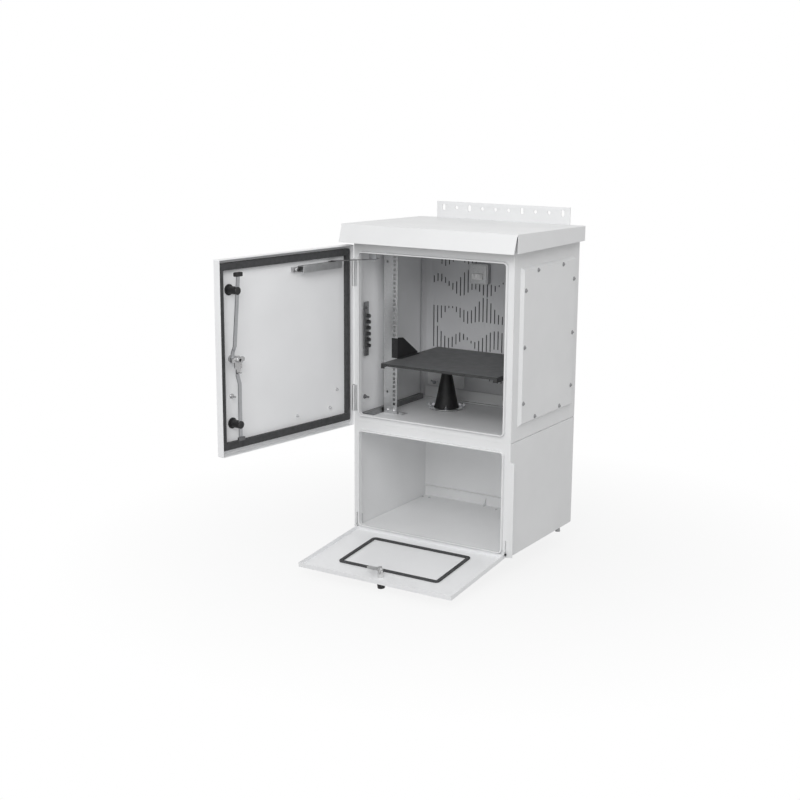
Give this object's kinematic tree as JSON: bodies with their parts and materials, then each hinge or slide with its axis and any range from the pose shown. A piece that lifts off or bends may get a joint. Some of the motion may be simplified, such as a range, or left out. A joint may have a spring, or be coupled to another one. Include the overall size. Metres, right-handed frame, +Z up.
{
  "type": "roadside utility cabinet",
  "caption": "Outdoor equipment cabinet with a rack bay behind a side-hinged door, a lower bay behind a drop-down flap, a sloping roof and a rear hanging bracket.",
  "frame": {"origin": "centre of the cabinet's underside, between the feet", "axes": "+X to the right seen from the front, +Y to the back and the wall, +Z up"},
  "size_m": [0.7459, 1.0638, 1.1518],
  "materials": {
    "cabinet_paint": "light grey powder coat, satin",
    "dark_paint": "near-black powder coat, fine texture",
    "zinc_steel": "zinc-plated steel",
    "bright_metal": "bright plated",
    "black_rubber": "matte rubber",
    "black_plastic": "matte black",
    "white_plastic": "glossy white"
  },
  "bodies": {
    "cabinet": {"upper_housing": "cabinet_paint", "lower_housing": "cabinet_paint", "roof": "cabinet_paint", "rear_bracket": "cabinet_paint", "side_cover": "cabinet_paint", "side_cover_seal": "black_rubber", "side_cover_screws": "zinc_steel", "back_panel": "cabinet_paint", "rear_ledge": "cabinet_paint", "blank_plate": "cabinet_paint", "wing_screw": "black_plastic", "junction_box": "zinc_steel", "junction_box_socket": "white_plastic", "left_rail": "zinc_steel", "right_rail": "zinc_steel", "rail_feet": "zinc_steel", "rail_bolts": "zinc_steel", "left_depth_rail": "zinc_steel", "right_depth_rail": "zinc_steel", "shelf_tray": "dark_paint", "left_shelf_bracket": "dark_paint", "right_shelf_bracket": "dark_paint", "shelf_screws": "dark_paint", "cable_cone": "black_rubber", "cone_ring": "zinc_steel", "cone_nuts": "zinc_steel", "earth_bar": "zinc_steel", "earth_bar_screws": "zinc_steel", "earth_bar_spacers": "zinc_steel", "wall_earth_stud": "zinc_steel", "feet": "black_rubber", "hinge_frame_leaves": "zinc_steel", "stay_bracket": "zinc_steel", "flap_hinge_brackets": "zinc_steel", "lower_floor_tray": "cabinet_paint", "lower_floor_bolts": "zinc_steel", "hinge_pins": "zinc_steel", "flap_hinge_pins": "black_plastic"},
    "door": {"door_leaf": "cabinet_paint", "door_gasket": "black_rubber", "hinge_door_leaves": "zinc_steel", "rod_guides": "black_plastic", "lock_body": "bright_metal", "stay_channel": "zinc_steel", "stay_end_block": "zinc_steel", "door_earth_stud": "zinc_steel", "door_studs": "zinc_steel"},
    "door_lock": {"turn_handle": "black_plastic", "lock_cam": "bright_metal", "lock_nut": "bright_metal"},
    "upper_bolt": {"upper_rod": "zinc_steel", "upper_rod_cap": "black_plastic"},
    "lower_bolt": {"lower_rod": "zinc_steel", "lower_rod_foot": "zinc_steel"},
    "slider": {"stay_slider": "black_plastic"},
    "arm": {"stay_arm": "zinc_steel"},
    "flap": {"flap_leaf": "cabinet_paint", "flap_gasket": "black_rubber", "flap_lock_body": "bright_metal"},
    "flap_catch": {"flap_lock": "bright_metal"}
  },
  "joints": [
    {"name": "door_hinge", "type": "hinge", "parent": "cabinet", "child": "door", "pos_m": [-0.296, -0.2376, 0.3635], "axis": [0, 0, 1], "range_deg": [-6, 98.3]},
    {"name": "handle_turn", "type": "hinge", "parent": "door", "child": "door_lock", "pos_m": [-0.39427, -0.76089, 0.6615], "axis": [-0.9895, 0.1444, 0], "range_deg": [0, 90]},
    {"name": "upper_rod_slide", "type": "slide", "parent": "door", "child": "upper_bolt", "axis": [0, 0, 1], "range_m": [0, 0.02]},
    {"name": "lower_rod_slide", "type": "slide", "parent": "door", "child": "lower_bolt", "axis": [0, 0, -1], "range_m": [0, 0.02]},
    {"name": "stay_slide", "type": "slide", "parent": "door", "child": "slider", "axis": [-0.1444, -0.9895, 0], "range_m": [-0.0073, 0.1167]},
    {"name": "stay_arm_turn", "type": "hinge", "parent": "cabinet", "child": "arm", "pos_m": [-0.227, -0.217, 0.922], "axis": [0, 0, 1], "range_deg": [-7.4, 117.7]},
    {"name": "flap_hinge", "type": "hinge", "parent": "cabinet", "child": "flap", "pos_m": [0, -0.2373, 0.011], "axis": [-1, 0, 0], "range_deg": [0, 95.9]},
    {"name": "flap_lock_turn", "type": "hinge", "parent": "flap", "child": "flap_catch", "pos_m": [0, -0.52775, -0.01902], "axis": [0, -0.1028, 0.9947], "range_deg": [0, 90]}
  ],
  "couplings": [
    {"joint": "upper_rod_slide", "follows": "handle_turn", "m_per_rad": 0.012732},
    {"joint": "lower_rod_slide", "follows": "handle_turn", "m_per_rad": 0.012732},
    {"joint": "stay_slide", "follows": "door_hinge", "m_per_rad": 0.067909},
    {"joint": "stay_arm_turn", "follows": "door_hinge", "ratio": 1.1956}
  ]
}
